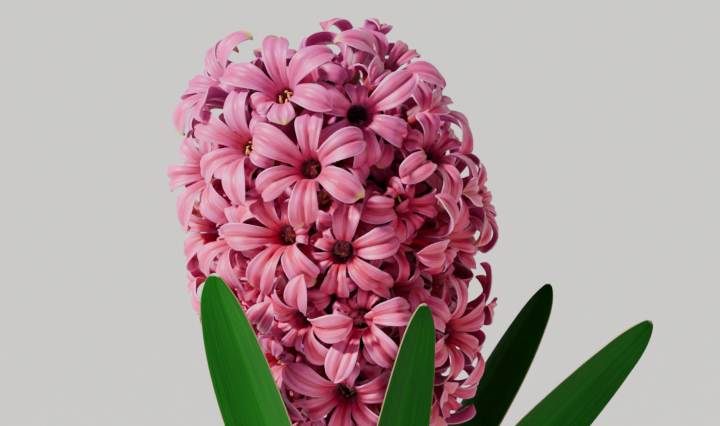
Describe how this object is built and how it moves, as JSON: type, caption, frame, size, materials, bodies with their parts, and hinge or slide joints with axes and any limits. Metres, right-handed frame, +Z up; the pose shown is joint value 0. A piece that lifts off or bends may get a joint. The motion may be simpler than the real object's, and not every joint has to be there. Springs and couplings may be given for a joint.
{
  "type": "potted hyacinth plant",
  "caption": "Hyacinth in full flower in a round terracotta pot: a half-buried bulb, strap leaves and one dense head of starry, rolled-back florets.",
  "frame": {"origin": "middle of the pot's flat underside", "axes": "+Z up along the pot's axis; -Y towards the plant's front; +X to the right as seen from the front"},
  "size_m": [0.1407, 0.11, 0.287],
  "materials": {
    "terracotta": "matt unglazed clay",
    "compost": "loose and damp",
    "bulb_tunic": "papery, satin",
    "stem_green": "waxy satin",
    "leaf_green": "waxy gloss",
    "tepal_pink": "fleshy satin"
  },
  "bodies": {
    "root": {"pot": "terracotta", "soil": "compost", "bulb": "bulb_tunic", "stem": "stem_green", "leaf_front_left": "leaf_green", "leaf_front_right": "leaf_green", "leaf_right": "leaf_green", "leaf_back_right": "leaf_green", "leaf_back_left": "leaf_green", "floret_01": "tepal_pink", "floret_02": "tepal_pink", "floret_03": "tepal_pink", "floret_04": "tepal_pink", "floret_05": "tepal_pink", "floret_06": "tepal_pink", "floret_07": "tepal_pink", "floret_08": "tepal_pink", "floret_09": "tepal_pink", "floret_10": "tepal_pink", "floret_11": "tepal_pink", "floret_12": "tepal_pink", "floret_13": "tepal_pink", "floret_14": "tepal_pink", "floret_15": "tepal_pink", "floret_16": "tepal_pink", "floret_17": "tepal_pink", "floret_18": "tepal_pink", "floret_19": "tepal_pink", "floret_20": "tepal_pink", "floret_21": "tepal_pink", "floret_22": "tepal_pink", "floret_23": "tepal_pink", "floret_24": "tepal_pink", "floret_25": "tepal_pink", "floret_26": "tepal_pink", "floret_27": "tepal_pink", "floret_28": "tepal_pink", "floret_29": "tepal_pink", "floret_30": "tepal_pink", "floret_31": "tepal_pink", "floret_32": "tepal_pink", "floret_33": "tepal_pink", "floret_34": "tepal_pink", "floret_35": "tepal_pink", "floret_36": "tepal_pink", "floret_37": "tepal_pink", "floret_38": "tepal_pink", "floret_39": "tepal_pink", "floret_40": "tepal_pink", "floret_41": "tepal_pink", "floret_42": "tepal_pink", "floret_43": "tepal_pink", "floret_44": "tepal_pink", "floret_45": "tepal_pink", "floret_46": "tepal_pink", "floret_47": "tepal_pink", "floret_48": "tepal_pink", "floret_49": "tepal_pink", "floret_50": "tepal_pink", "floret_51": "tepal_pink"}
  },
  "joints": []
}
